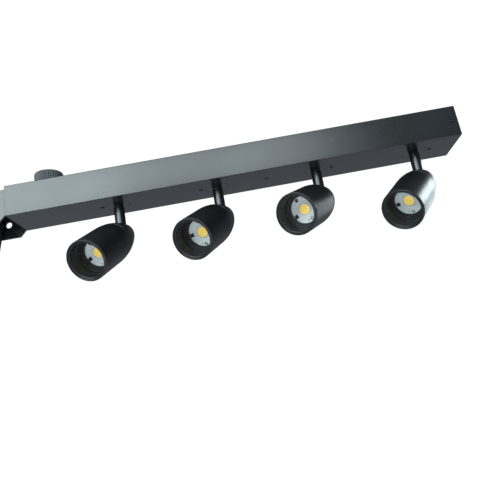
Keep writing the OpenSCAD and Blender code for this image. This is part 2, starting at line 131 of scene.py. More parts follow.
def quads(rows, cols, wrap_rows=False, wrap_cols=False):
    """Faces of a grid of points: point (i, j) with its neighbours (i, j+1), (i+1, j+1) and (i+1, j)."""
    i = np.arange(rows if wrap_rows else rows - 1)[:, None]
    j = np.arange(cols if wrap_cols else cols - 1)[None, :]
    i2, j2 = (i + 1) % rows, (j + 1) % cols
    return np.stack([i * cols + j, i * cols + j2, i2 * cols + j2, i2 * cols + j], -1).reshape(-1, 4)


def place(points, axes):
    """Points given along three axes, as places: origin + x * X + y * Y + z * Z."""
    return axes[0] + points.reshape(-1, 3) @ axes[1]


def circle(radius, angles):
    """Points (r cos a, r sin a) at those angles."""
    return radius * np.column_stack([np.cos(angles), np.sin(angles)])


def hole_in(outline, radius):
    """A round hole about the origin, with a point in the direction of each of the outline's."""
    return circle(radius, np.arctan2(outline[:, 1], outline[:, 0]))


def rounded(corners, radius, steps=4):
    """A closed outline with rounded corners.

    Each corner C becomes the curve (1-t)^2 A + 2t(1-t) C + t^2 B, with A and B on its two sides, each at
    the radius.
    """
    c = np.asarray(corners, float)
    r = np.broadcast_to(np.asarray(radius, float), len(c))[:, None]
    back, ahead = np.roll(c, 1, 0) - c, np.roll(c, -1, 0) - c
    back_l = np.linalg.norm(back, axis=1, keepdims=True)
    ahead_l = np.linalg.norm(ahead, axis=1, keepdims=True)
    near = np.minimum(r, 0.45 * np.minimum(back_l, ahead_l))
    a, b = c + back / back_l * near, c + ahead / ahead_l * near
    t = np.linspace(0, 1, steps + 1)[None, :, None]
    curve = (1 - t) ** 2 * a[:, None] + 2 * t * (1 - t) * c[:, None] + t**2 * b[:, None]
    return curve.reshape(-1, 2)


def turned(profile, axes, segments, closed=True):
    """A profile of (radius, height) turned round the axis: (r cos a, r sin a, h) for a from 0 to a full turn.

    A profile that isn't closed starts and ends on the axis.
    """
    a = np.linspace(0, 2 * np.pi, segments, endpoint=False)
    r, h = profile[:, :1], profile[:, 1:]
    points = np.stack([r * np.cos(a), r * np.sin(a), h + 0 * a], -1)
    return place(points, axes), quads(len(profile), segments, wrap_rows=closed, wrap_cols=True)


def drawn_out(outline, axes, start, end):
    """A closed outline of (x, y) drawn out along Z from start to end, with a flat face at each end."""
    n = len(outline)
    ends = np.array([start, end])[:, None]
    points = np.stack([outline[:, 0] + 0 * ends, outline[:, 1] + 0 * ends, ends + 0 * outline[:, 0]], -1)
    faces = quads(2, n, wrap_cols=True).tolist()
    faces += [list(range(n))[::-1], list(range(n, 2 * n))]
    return place(points, axes), faces


def inset(outline, depth):
    """A smooth closed outline moved inwards: each point by the depth, square to its neighbours' line."""
    along = np.roll(outline, -1, 0) - np.roll(outline, 1, 0)
    along /= np.linalg.norm(along, axis=1, keepdims=True)
    return outline + depth * np.stack([-along[:, 1], along[:, 0]], -1)


def plate(outline, hole, axes, low, high, edge, steps=4):
    """A plate with rounded edges and a hole.

    The outline, anticlockwise, steps in by e(1 - sin q) while it rises by e(1 - cos q), over a quarter turn
    q, at both faces. The faces run straight to the hole's edge, which has as many points.
    """
    q = np.linspace(0, np.pi / 2, steps + 1)
    in_, up = edge * (1 - np.sin(q)), edge * (1 - np.cos(q))
    rings = [(hole, low)] + [(inset(outline, d), low + h) for d, h in zip(in_, up)]
    rings += [(inset(outline, d), high - h) for d, h in zip(in_[::-1], up[::-1])] + [(hole, high)]
    points = np.stack([np.column_stack([o, np.full(len(o), h)]) for o, h in rings])
    return place(points, axes), quads(len(rings), len(outline), wrap_rows=True, wrap_cols=True)


def tube(path, radius, sides=10):
    """A round rod along a path: c(t) + r (cos a N + sin a B), with N and B square to the path's direction.

    Both ends close on the path itself.
    """
    path = np.asarray(path, float)
    along = np.gradient(path, axis=0)
    along /= np.linalg.norm(along, axis=1, keepdims=True)
    side = np.eye(3)[int(np.argmin(np.ptp(path, axis=0)))]
    n = side - (along @ side)[:, None] * along
    n /= np.linalg.norm(n, axis=1, keepdims=True)
    b = np.cross(along, n)
    a = np.linspace(0, 2 * np.pi, sides, endpoint=False)[None, :, None]
    ring = path[:, None] + radius * (np.cos(a) * n[:, None] + np.sin(a) * b[:, None])
    ends = np.repeat(path[[0, -1], None], sides, 1)
    points = np.concatenate([ends[:1], ring, ends[1:]])
    return points.reshape(-1, 3), quads(len(points), sides, wrap_cols=True)


def welded(points, faces):
    """A part with its doubled points merged, and its faces turned outwards by the sign of its volume."""
    keys = np.round(points / WELD).astype(np.int64)
    _, first, same = np.unique(keys, axis=0, return_index=True, return_inverse=True)
    points, same = points[first], same.reshape(-1)
    merged = []
    for face in faces if isinstance(faces, list) else faces.tolist():
        loop = [same[k] for k in face]
        loop = [k for n, k in enumerate(loop) if k != loop[n - 1]]
        if len(set(loop)) >= 3:
            merged.append(loop)
    tris = np.array([(f[0], f[k], f[k + 1]) for f in merged for k in range(1, len(f) - 1)])
    a, b, c = points[tris[:, 0]], points[tris[:, 1]], points[tris[:, 2]]
    if np.einsum("ij,ij->i", a, np.cross(b, c)).sum() < 0:
        merged = [f[::-1] for f in merged]
    return points, merged


def make_mesh(name, parts):
    """One mesh from several closed parts."""
    points, faces, start = [], [], 0
    for part in parts:
        p, f = welded(*part)
        points.append(p)
        faces += [[k + start for k in face] for face in f]
        start += len(p)
    mesh = bpy.data.meshes.new(name)
    mesh.from_pydata(np.concatenate(points).tolist(), [], faces)
    mesh.validate()
    return mesh


def add_object(name, data):
    """A new object in the scene, with that mesh, light or camera."""
    new = bpy.data.objects.new(name, data)
    bpy.context.scene.collection.objects.link(new)
    return new


def make_piece(name, parts, finish, body, replaced=(), sharp=35, cut_by=()):
    """Adds a piece from its parts, and sets it on its body.

    Its faces are smooth, with edges sharper than that many degrees kept. The parts in cut_by are cut out.
    """
    piece = add_object(name, make_mesh(name, parts))
    if cut_by:
        cutter = add_object(name + "_cut", make_mesh(name + "_cut", cut_by))
        cut = piece.modifiers.new("cut", "BOOLEAN")
        cut.operation, cut.solver, cut.object = "DIFFERENCE", "EXACT", cutter
        graph = bpy.context.evaluated_depsgraph_get()
        piece.data = bpy.data.meshes.new_from_object(piece.evaluated_get(graph))
        piece.modifiers.clear()
        bpy.data.objects.remove(cutter)
    if not piece.data.polygons:
        raise RuntimeError(f"{name} came out empty")
    piece.data.name = name
    piece.data.shade_smooth()
    piece.data.set_sharp_from_angle(angle=math.radians(sharp))
    piece.data.materials.clear()
    piece.data.materials.append(MATERIALS[finish])
    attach(piece, body)
    if replaced:
        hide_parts(*replaced)
    return piece


# ---------------------------------------------------------------- finishes


def srgb(hex_colour):
    """An sRGB hex colour as linear red, green, blue and alpha."""
    c = np.array([int(hex_colour.lstrip("#")[k : k + 2], 16) / 255 for k in (0, 2, 4)])
    linear = np.where(c <= 0.04045, c / 12.92, ((c + 0.055) / 1.055) ** 2.4)
    return (*[float(v) for v in linear], 1.0)


def add(tree, kind, links=None, **settings):
    """One node with its settings. Links give an input's value, or the output that feeds it."""
    node = tree.nodes.new(kind)
    for key, value in settings.items():
        setattr(node, key, value)
    for key, value in (links or {}).items():
        if isinstance(value, bpy.types.NodeSocket):
            tree.links.new(value, node.inputs[key])
        else:
            node.inputs[key].default_value = value
    return node


def new_finish(name):
    """An empty material with its node tree, the surface's own coordinates, and its shader."""
    material = bpy.data.materials.new(name)
    material.use_nodes = True
    tree = material.node_tree
    tree.nodes.clear()
    where = add(tree, "ShaderNodeTexCoord").outputs["Object"]
    shader = add(tree, "ShaderNodeBsdfPrincipled")
    add(tree, "ShaderNodeOutputMaterial", {"Surface": shader.outputs["BSDF"]})
    MATERIALS[name] = material
    return tree, where, shader


def grain(tree, where, size, stretch=(1, 1, 1), detail=3.0):
    """Noise whose spots are of that size in metres, drawn out along an axis by the stretch."""
    scaled = add(tree, "ShaderNodeMapping", {"Vector": where, "Scale": [1 / s for s in stretch]})
    links = {"Vector": scaled.outputs["Vector"], "Scale": 1 / size, "Detail": detail, "Roughness": 0.55}
    return add(tree, "ShaderNodeTexNoise", links).outputs["Fac"]


def painted_edge_highlight(tree, radius, gain):
    """How near a point is to a sharp edge: 1 minus the rounded normal along the true one, made stronger."""
    soft = add(tree, "ShaderNodeBevel", {"Radius": radius}, samples=4).outputs["Normal"]
    true = add(tree, "ShaderNodeNewGeometry").outputs["Normal"]
    along = add(tree, "ShaderNodeVectorMath", {0: soft, 1: true}, operation="DOT_PRODUCT").outputs["Value"]
    off = add(tree, "ShaderNodeMath", {0: 1.0, 1: along}, operation="SUBTRACT").outputs[0]
    return add(tree, "ShaderNodeMath", {0: off, 1: gain}, operation="MULTIPLY", use_clamp=True).outputs[0]


def spread(tree, value, low, high, from_low=0.3, from_high=0.7):
    """A value carried from one range to another."""
    links = {"Value": value, "From Min": from_low, "From Max": from_high, "To Min": low, "To Max": high}
    return add(tree, "ShaderNodeMapRange", links).outputs["Result"]


def blend(tree, amount, first, second):
    """Two colours mixed by an amount."""
    links = {"Factor": amount, "A": first, "B": second}
    return add(tree, "ShaderNodeMix", links, data_type="RGBA").outputs["Result"]


def coated(name, base, light, edge, rough, grit, depth, stretch=(1, 1, 1), edge_r=0.5, cloud=40.0,
           swing=0.03, **shader):
    """A coat over metal or a moulded skin.

    Two noises vary it: grit makes the bump and changes the roughness by the swing, and a cloud of some
    centimetres gives the uneven colour of handling. Edges are lighter by a painted highlight, broken up by
    the grit. Sizes are in millimetres.
    """
    tree, where, out = new_finish(name)
    fine = grain(tree, where, grit * MM, stretch)
    wide = grain(tree, where, cloud * MM, detail=2.0)
    colour = blend(tree, spread(tree, wide, 0, 1), srgb(base), srgb(light))
    # Painted highlight: the pale edge colour is laid along the rounded edges, broken up by the grit
    edge_highlight_links = {0: painted_edge_highlight(tree, edge_r * MM, 2.2), 1: spread(tree, fine, 0.5, 1)}
    highlight_mask = add(tree, "ShaderNodeMath", edge_highlight_links, operation="MULTIPLY").outputs[0]
    colour = blend(tree, highlight_mask, colour, srgb(edge))
    low, high = rough
    gloss = add(tree, "ShaderNodeMath",
                {0: spread(tree, wide, low, high), 1: spread(tree, fine, -swing, swing)}, operation="ADD")
    bump = add(tree, "ShaderNodeBump", {"Strength": 0.6, "Distance": depth * MM, "Height": fine})
    tree.links.new(colour, out.inputs["Base Color"])
    tree.links.new(gloss.outputs[0], out.inputs["Roughness"])
    tree.links.new(bump.outputs["Normal"], out.inputs["Normal"])
    for key, value in shader.items():
        out.inputs[key.replace("_", " ")].default_value = value


def make_finishes(look):
    """Every finish of the fixture, each named for its real material or how its surface was made."""
    # Extruded aluminium, black anodised: near black, with a broad soft sheen. Its die lines run along the bar
    # and barely show.
    coated("anodised_extrusion", look.bar_colour, "#1e2125", "#6d7478", (0.26, 0.31), 0.6, 0.0015,
           stretch=(80, 1, 1), edge_r=0.6, cloud=70, swing=0.006, IOR=1.5, Specular_IOR_Level=0.62)
    # Powder coated steel sheet: a little smoother than the extrusion, so stems mirror in it.
    coated("coated_cover_sheet", "#1d2023", "#23272b", "#565c61", (0.20, 0.26), 0.9, 0.006,
           edge_r=0.4, cloud=60, IOR=1.5)
    # Powder coated aluminium barrel: satin, with the slight orange peel of a baked coat.
    coated("powder_coated_barrel", look.barrel_colour, "#131517", "#34383b", (0.33, 0.39), 0.8, 0.006,
           edge_r=0.28, cloud=25, IOR=1.5)
    # Black chromed steel stem: glossier than the barrel, with a narrow bright line down its side.
    coated("black_chrome_stem", "#121316", "#191b1f", "#5e6468", (0.20, 0.26), 1.2, 0.003,
           edge_r=0.4, cloud=15, IOR=1.55)
    # Powder coated steel lever: the blackest piece, with pale edges that are a painted highlight.
    coated("coated_lever", "#101112", "#16181a", "#4b5054", (0.36, 0.44), 0.7, 0.008, edge_r=0.6, cloud=20)
    # Glass filled nylon knob: dull dark grey, with the fine spark texture of its mould.
    coated("spark_textured_nylon", look.knob_colour, "#474c50", "#6a7074", (0.5, 0.6), 0.45, 0.02,
           edge_r=0.3, cloud=12)
    # Matt black polycarbonate baffle: swallows stray light, and its pale edges are a painted highlight.
    coated("matt_baffle", "#080a0b", "#0b0e0f", "#c3c9cc", (0.40, 0.48), 0.6, 0.006, edge_r=0.32,
           cloud=15)
    # Blackened steel screws: dark, with bright corners that are a painted highlight.
    coated("blackened_steel", "#1e2022", "#2a2d30", "#e4e8ea", (0.26, 0.36), 0.5, 0.004,
           edge_r=0.5, cloud=4, Metallic=0.85)
    # Bright zinc plate: pale blue grey with the cloudy look of a plating bath.
    coated("zinc_plate", "#a9adb1", "#c3c6c9", "#e2e4e5", (0.28, 0.42), 0.5, 0.004, edge_r=0.25, cloud=5,
           Metallic=1.0)
    # Turned aluminium heat sink: pale metal with the fine marks of the cutting tool.
    coated("turned_aluminium", "#a4a8ab", "#bfc2c4", "#e6e8e9", (0.3, 0.42), 0.4, 0.01, edge_r=0.2,
           cloud=9, Metallic=1.0)
    # Moulded white polybutylene: a clean, slightly cool white with a faint skin.
    coated("moulded_white_plastic", look.board_colour, "#eef5f3", "#f8fbfa", (0.38, 0.48), 0.5, 0.004,
           edge_r=0.2, cloud=10)
    # Extruded silicone rubber sheath: soft off-white, dull and slightly dusty.
    coated("silicone_sheath", "#d6d6d0", "#e0e0da", "#e9e9e4", (0.5, 0.62), 0.6, 0.01, edge_r=0.2, cloud=8)
    # Phosphor in clear silicone: deep yellow with a fine grain, brightened by a faint painted glow.
    tree, where, out = new_finish("phosphor_silicone")
    fine = grain(tree, where, 0.35 * MM)
    colour = blend(tree, spread(tree, fine, 0, 1), srgb(look.emitter_colour), srgb("#f7dc7c"))
    tree.links.new(colour, out.inputs["Base Color"])
    bump = add(tree, "ShaderNodeBump", {"Strength": 0.3, "Distance": 0.01 * MM, "Height": fine})
    tree.links.new(bump.outputs["Normal"], out.inputs["Normal"])
    tree.links.new(spread(tree, fine, 0.26, 0.34), out.inputs["Roughness"])
    # Painted glow: a faint emission in the emitter's own colour, though the LED is off
    out.inputs["Emission Color"].default_value = srgb(look.emitter_colour)
    out.inputs["Emission Strength"].default_value = 0.36
    out.inputs["Coat Weight"].default_value = 0.4
    out.inputs["Coat Roughness"].default_value = 0.12


# Finish of each carried-over CAD node, by the slot that the record gives it
FINISH_OF_SLOT = {
    "black_anodised": "anodised_extrusion",
    "black_cover": "coated_cover_sheet",
    "dark_screw": "blackened_steel",
    "zinc_steel": "zinc_plate",
    "white_plastic": "moulded_white_plastic",
    "cable_sheath": "silicone_sheath",
    "knob_plastic": "spark_textured_nylon",
    "lever_black": "coated_lever",
    "stem_black": "black_chrome_stem",
    "barrel_black": "powder_coated_barrel",
    "raw_aluminium": "turned_aluminium",
    "led_phosphor": "phosphor_silicone",
    "baffle_black": "matt_baffle",
}


# ---------------------------------------------------------------- what a user may change


def length(name, description, default_mm, low_mm, high_mm):
    """A length property, given in millimetres."""
    return bpy.props.FloatProperty(name=name, description=description, default=default_mm * MM,
                                   min=low_mm * MM, max=high_mm * MM, unit="LENGTH", precision=4)


def power(name, description, default):
    """The power of a light, in watts."""
    return bpy.props.FloatProperty(name=name, description=description, default=default, min=0, max=500,
                                   unit="POWER")


def colour_of(name, description, default):
    """A colour, given as sRGB hex."""
    return bpy.props.StringProperty(name=name, description=description, default=default)


class SPOTBAR_PG_look(bpy.types.PropertyGroup):
    """Colours of the fixture, as sRGB hex values."""

    bar_colour: colour_of("Bar", "Colour of the anodised bar and hub", "#191c1e")
    barrel_colour: colour_of("Barrels", "Colour of the barrels' powder coat", "#0e0f11")
    knob_colour: colour_of("Knob", "Colour of the clamp knob", "#45494d")
    board_colour: colour_of("LED holders", "Colour of the white LED holders", "#e6f0ed")
    emitter_colour: colour_of("Emitters", "Colour of the light emitting surfaces", "#fbd45a")


class SPOTBAR_PG_bar(bpy.types.PropertyGroup):
    """Section of the extruded bar."""

    wall: length("Wall", "Wall of the bar channel", 1.6, 1.0, 3.0)
    lip_w: length("Lip width", "Width of the lips under the cover", 1.2, 0.5, 3.0)
    lip_t: length("Lip thickness", "Thickness of the lips under the cover", 1.0, 0.5, 2.0)
    rib_w: length("Rib width", "Width of the ribs over the cover", 3.0, 1.0, 5.0)
    corner: length("Corner radius", "Radius of the bar's long outer edges", 0.9, 0.1, 2.0)


class SPOTBAR_PG_head(bpy.types.PropertyGroup):
    """Shape of the spot heads."""

    wall: length("Barrel wall", "Wall of the barrel", 2.2, 1.0, 4.0)
    taper_start: length("Taper start", "Distance from the tilt pin to where the barrel narrows", 44, 20, 70)
    slot_r: length("Slot half-width", "Half the width of the slot for the stem", 7.6, 4, 12)
    rim: length("Rim radius", "Rounding of the barrel's front rim", 0.7, 0.1, 1.5)
    groove_s: length("Groove place", "Distance from the tilt pin to the fine groove", 24, 12, 60)
    groove_w: length("Groove width", "Width of the fine groove round the barrel", 0.9, 0.1, 2)
    step_l: length("Baffle step length", "Length of each ring at the baffle's inner end", 2.4, 1, 5)
    step_in: length("Baffle step depth", "How far each ring stands in from the next", 1.5, 0.2, 2)
    board_turns: bpy.props.FloatVectorProperty(
        name="Holder turns", description="Turn of each LED holder in its head", size=4,
        default=[math.radians(a) for a in (200, 179, 203, 177)])


class SPOTBAR_PG_knob(bpy.types.PropertyGroup):
    """Clamp knob and lever."""

    ribs: bpy.props.IntProperty(name="Ribs", description="Number of ribs round the knob", default=52,
                                min=12, max=80)
    rib_depth: length("Rib depth", "Depth of the grooves between the ribs", 0.95, 0.2, 2.0)
    lever_edge: length("Lever edge", "Rounding of the lever's edges", 1.1, 0.1, 2.5)


class SPOTBAR_PG_studio(bpy.types.PropertyGroup):
    """Lights and camera."""

    key_power: power("Key light", "Power of the large front light", 32.0)
    middle_power: power("Middle light", "Power of the light over the camera", 10.5)
    low_power: power("Low light", "Power of the light that reaches the LEDs", 3.0)
    end_power: power("End light", "Power of the lights over the far end", 4.0)
    rim_power: power("Rear light", "Power of the lights behind the far end", 1.4)
    fill: bpy.props.FloatProperty(name="Fill", description="Brightness of the room", default=0.2,
                                  min=0, max=3)
    lens: bpy.props.FloatProperty(name="Lens", description="Focal length of the camera", default=37.96,
                                  min=10, max=200, unit="CAMERA")


# ---------------------------------------------------------------- pieces

# Bar: gap between cover and ribs, and thickness of the ribs
RIB_GAP = 0.2 * MM
RIB_T = 1.5 * MM

# Clamp knob: gap under its collar, thickness of the collar, radii of its lower and upper edge, where the
# ring round its sunk top ends, inwards from the full radius, and how deep the top is sunk
KNOB_GAP = 0.3 * MM
COLLAR_T = 1.5 * MM
KNOB_UNDER = 0.9 * MM
KNOB_OVER = 1.7 * MM
KNOB_RING = (3.4 * MM, 4.6 * MM)
KNOB_SINK = 0.5 * MM
# Its ribs: points round each one, how far in from the full radius they have faded out, and over what length
RIB_POINTS = 10
RIB_FADE_END = 2.2 * MM
RIB_FADE = 1.6 * MM
# Its stud and its collar: their radii and edges
STUD_R = 4 * MM
COLLAR_R = 10 * MM
STUD_EDGE = 0.4 * MM

# Lever: radius of its free end, and of its hole
LEVER_TIP = 12.5 * MM
LEVER_HOLE = 4.05 * MM

# Locknut: radius at its corners, their rounding, radius of its bore, its edge, and its share of the gap
NUT_CORNER = 7.1 * MM
NUT_ROUND = 0.5 * MM
NUT_BORE = 6.05 * MM
NUT_EDGE = 0.25 * MM
NUT_SHARE = 0.55

# Heads: divisions of a full turn, how much wider than the cap's rear face the barrel's curve ends, the
# groove's depth as a share of its width, and the inner edge of the rim
HEAD_SEGMENTS = 128
REAR_SPARE = 0.8 * MM
GROOVE_SHARE = 0.6
RIM_INNER = 0.35 * MM

# Baffle: its wall, the number of rings at its inner end, and its front chamfer
BAFFLE_WALL = 2 * MM
BAFFLE_STEPS = 3
BAFFLE_CHAMFER = 0.7 * MM

# LED holder: rounding of its rim, radii and depths in millimetres of the groove in its face, and the depth
# and width of its slope down to the emitter
HOLDER_EDGE = 0.4 * MM
FACE_GROOVE = ((11.6, 0), (11.4, 0.15), (10.9, 0.15), (10.7, 0))
SLOPE_DEPTH = 1.2 * MM
SLOPE_W = 2 * MM
# Its two screws: their distance from the middle, radius and depth of their wells, and their own size
SCREW_PLACE = 14.5 * MM
WELL_R = 2.4 * MM
WELL_DEPTH = 1.2 * MM
SCREW_R = 2.1 * MM
SCREW_H = 1.1 * MM
# Its connector: place, and half its length, half its width and its height
PLUG_PLACE = 13.9 * MM
PLUG_SIZE = (2.4 * MM, 2.3 * MM, 1.1 * MM)
# Its wire hook: place, angle from the connector, half-width and rise of the bow, and the wire's radius
HOOK_PLACE = 14.2 * MM
HOOK_TURN = 70
HOOK_HALF = 1.3 * MM
HOOK_RISE = 1.25 * MM
HOOK_R = 0.28 * MM
# Emitter: how far its dome falls, the width of its dam, and the dam's drop under the emitter's top
DOME_FALL = 0.45 * MM
DAM_W = 1.1 * MM
DAM_DROP = 0.3 * MM


def bar_outline(bar):
    """Section of the bar, as (y, z): a box open below, with lips and ribs at the opening."""
    low, high = node_box("channel_body")
    cover_top = node_box("bottom_cover")[1][2]
    half, z0, z1 = (high[1] - low[1]) / 2, low[2], high[2]
    inner, ceiling = half - bar.wall, z1 - bar.wall
    lip_in, rib_in = inner - bar.lip_w, inner - bar.rib_w
    lip_top, rib_z = z0 + bar.lip_t, cover_top + RIB_GAP
    rib_top = rib_z + RIB_T
    # Each corner of the right half as y, z and its radius in millimetres, from the top edge inwards
    right = np.array([(half, z1, bar.corner / MM), (half, z0, 0.5), (lip_in, z0, 0.25),
                      (lip_in, lip_top, 0.15), (inner, lip_top, 0.05), (inner, rib_z, 0.05),
                      (rib_in, rib_z, 0.2), (rib_in, rib_top, 0.2), (inner, rib_top, 0.1),
                      (inner, ceiling, 0.3)])
    both = np.concatenate([right, right[::-1] * [-1, 1, 1]])
    return rounded(both[:, :2], both[:, 2] * MM, steps=5)


class SPOTBAR_OT_finishes(bpy.types.Operator):
    """Makes every finish and lays it on the carried-over parts"""

    bl_idname = "spotbar.finishes"
    bl_label = "Finishes"

    def execute(self, context):
        make_finishes(context.scene.spotbar_look)
        for node in frame["nodes"].values():
            for part_slot in node.material_slots:
                part_slot.material = MATERIALS[FINISH_OF_SLOT[part_slot.material.name.split(".")[0]]]
        return {"FINISHED"}


class SPOTBAR_OT_bar(bpy.types.Operator):
    """Extruded bar with rounded long edges, and the lips and ribs at its opening"""

    bl_idname = "spotbar.bar"
    bl_label = "Bar"

    def execute(self, context):
        bar = context.scene.spotbar_bar
        low, high = node_box("channel_body")
        along = (np.zeros(3), np.array([[0, 1, 0], [0, 0, 1], [1, 0, 0]], float))
        parts = [drawn_out(bar_outline(bar), along, low[0], high[0])]
        make_piece("bar_extrusion", parts, "anodised_extrusion", "bar", ["channel_body"])
        return {"FINISHED"}


class SPOTBAR_OT_knob(bpy.types.Operator):
    """Ribbed clamp knob with its collar and stud"""

    bl_idname = "spotbar.knob"
    bl_label = "Clamp knob"

    def execute(self, context):
        knob = context.scene.spotbar_knob
        low, high = node_box("clamp_knob")
        centre = np.append((low[:2] + high[:2]) / 2, 0.0)
        axes = (centre, np.eye(3))
        full_r = (high[0] - low[0]) / 2
        bar_top = node_box("channel_body")[1][2]
        base, skirt, top = bar_top + KNOB_GAP, bar_top + KNOB_GAP + COLLAR_T, high[2]
        # Profile of the knob: a quarter round, the straight side, a quarter round, and the sunk top
        q = np.linspace(0, np.pi / 2, 8)
        under = np.column_stack([full_r - KNOB_UNDER * (1 - np.sin(q)), skirt + KNOB_UNDER * (1 - np.cos(q))])
        over = np.column_stack([full_r - KNOB_OVER * (1 - np.cos(q)), top - KNOB_OVER * (1 - np.sin(q))])
        heights = np.linspace(skirt + KNOB_UNDER, top - KNOB_OVER, 20)[1:-1]
        side = np.column_stack([np.full(len(heights), full_r), heights])
        sunk = [(full_r - KNOB_RING[0], top), (full_r - KNOB_RING[1], top - KNOB_SINK), (0, top - KNOB_SINK)]
        profile = np.concatenate([[(0, skirt)], under, side, over, sunk])
        # Ribs: at angle a the radius is R - d (1 - |sin(n a / 2)|^0.6), so the ribs are broad and the grooves
        # between them narrow. The depth d fades to none on the way inwards.
        a = np.linspace(0, 2 * np.pi, knob.ribs * RIB_POINTS, endpoint=False)
        wave = 1 - np.abs(np.sin(knob.ribs * a / 2)) ** 0.6
        share = np.clip((profile[:, 0] - full_r + RIB_FADE_END) / RIB_FADE, 0, 1)[:, None]
        r = profile[:, :1] - knob.rib_depth * wave * share
        points = np.stack([r * np.cos(a), r * np.sin(a), profile[:, 1:] + 0 * a], -1)
        body = (place(points, axes), quads(len(profile), len(a), wrap_cols=True))
        stud = np.array([(0, low[2]), (STUD_R - STUD_EDGE, low[2]), (STUD_R, low[2] + STUD_EDGE),
                         (STUD_R, base), (COLLAR_R - STUD_EDGE, base), (COLLAR_R, base + STUD_EDGE),
                         (COLLAR_R, skirt + STUD_EDGE), (0, skirt + STUD_EDGE)])
        make_piece("knurled_knob", [body, turned(stud, axes, 48, closed=False)], "spark_textured_nylon",
                   "knob", ["clamp_knob"], sharp=50)
        return {"FINISHED"}


class SPOTBAR_OT_lever(bpy.types.Operator):
    """Lever on the inside of the hub, a plate with two round ends and soft edges"""

    bl_idname = "spotbar.lever"
    bl_label = "Hub lever"

    def execute(self, context):
        edge = context.scene.spotbar_knob.lever_edge
        low, high = node_box("hub_lever")
        pin_low, pin_high = node_box("lever_pin")
        pin = (pin_low + pin_high) / 2
        big = (high[0] - low[0]) / 2
        drop = (pin[2] - low[2]) - LEVER_TIP
        lean = math.asin((big - LEVER_TIP) / drop)
        # Outline, anticlockwise: an arc of the big radius round the pin, then one round the free end
        upper = circle(big, np.linspace(-lean, np.pi + lean, 64))
        lower = circle(LEVER_TIP, np.linspace(np.pi + lean, 2 * np.pi - lean, 48))
        ring = np.concatenate([upper, lower - [0, drop]])
        hole = hole_in(ring, LEVER_HOLE)
        # X stays, Y of the outline is up, and the plate's thickness runs along -Y of the room
        axes = (np.array([pin[0], high[1], pin[2]]), np.array([[1, 0, 0], [0, 0, 1], [0, -1, 0]], float))
        part = plate(ring, hole, axes, 0.0, high[1] - low[1], edge)
        make_piece("rounded_lever", [part], "coated_lever", "lever", ["hub_lever"])
        return {"FINISHED"}


def barrel_radius(s, head_r, rear_r, rear, start):
    """Outer radius along a head: R up to where it narrows, then R - (R - r) u^2, u being 1 at the rear."""
    u = np.clip((start - s) / (start - rear), 0, 1)
    return head_r - (head_r - rear_r) * u**2


def slotted_shell(outer, inner, slot_r, axes, segments):
    """A turned shell with a slot on the stem's side.

    At height s the slot takes the half-angle asin(w / r), where w is its half-width: the slot's radius behind
    the pin, sqrt(w^2 - s^2) in its round end, and nothing past it. The rest of the turn is divided evenly.
    """
    def rows(profile):
        r, s = profile[:, :1], profile[:, 1:]
        w = np.sqrt(np.clip(slot_r**2 - np.clip(s, 0, None) ** 2, 0, None))
        half = np.arcsin(np.clip(w / r, 0, 1))
        a = np.pi / 2 + half + np.linspace(0, 1, segments + 1) * (2 * np.pi - 2 * half)
        return np.stack([r * np.cos(a), r * np.sin(a), s + 0 * a], -1)

    grid = rows(np.concatenate([outer, inner[::-1]]))
    shell = quads(len(grid), segments + 1, wrap_rows=True)
    # Walls of the slot: a strip between the outer and the inner profile at each end of the turn
    walls = []
    count = len(grid) * (segments + 1)
    n = int((outer[:, 1] < slot_r).sum()) + 1
    points = [grid.reshape(-1, 3)]
    for column in (0, segments):
        strip = np.stack([grid[:n, column], grid[::-1][:n, column]], 1)
        faces = quads(n, 2)
        walls.append((faces if column else faces[:, ::-1]) + count)
        points.append(strip.reshape(-1, 3))
        count += 2 * n
    return place(np.concatenate(points), axes), np.concatenate([shell, *walls])


class SPOTBAR_OT_locknuts(bpy.types.Operator):
    """Thin hexagonal locknuts on the necks, between each stem and its disc"""

    bl_idname = "spotbar.locknuts"
    bl_label = "Locknuts"

    def execute(self, context):
        for i in HEADS:
            top = node_box(f"stem_{i}")[1][2]
            bottom = node_box("swivel_discs")[0][2]
            origin, _ = head_axes(i)
            thick = NUT_SHARE * (bottom - top)
            z = (top + bottom - thick) / 2
            # Each nut stands at its own angle, taken from how far its head can turn
            turn = math.radians(JOINTS[f"pan_{i}"]["range_deg"][1])
            corners = circle(NUT_CORNER, np.linspace(0, 2 * np.pi, 6, endpoint=False) + turn)
            hexagon = rounded(corners, NUT_ROUND, 3)
            axes = (np.array([origin[0], origin[1], z]), np.eye(3))
            nut = plate(hexagon, hole_in(hexagon, NUT_BORE), axes, 0.0, thick, NUT_EDGE)
            make_piece(f"locknut_{i}", [nut], "blackened_steel", f"swivel_{i}")
        return {"FINISHED"}


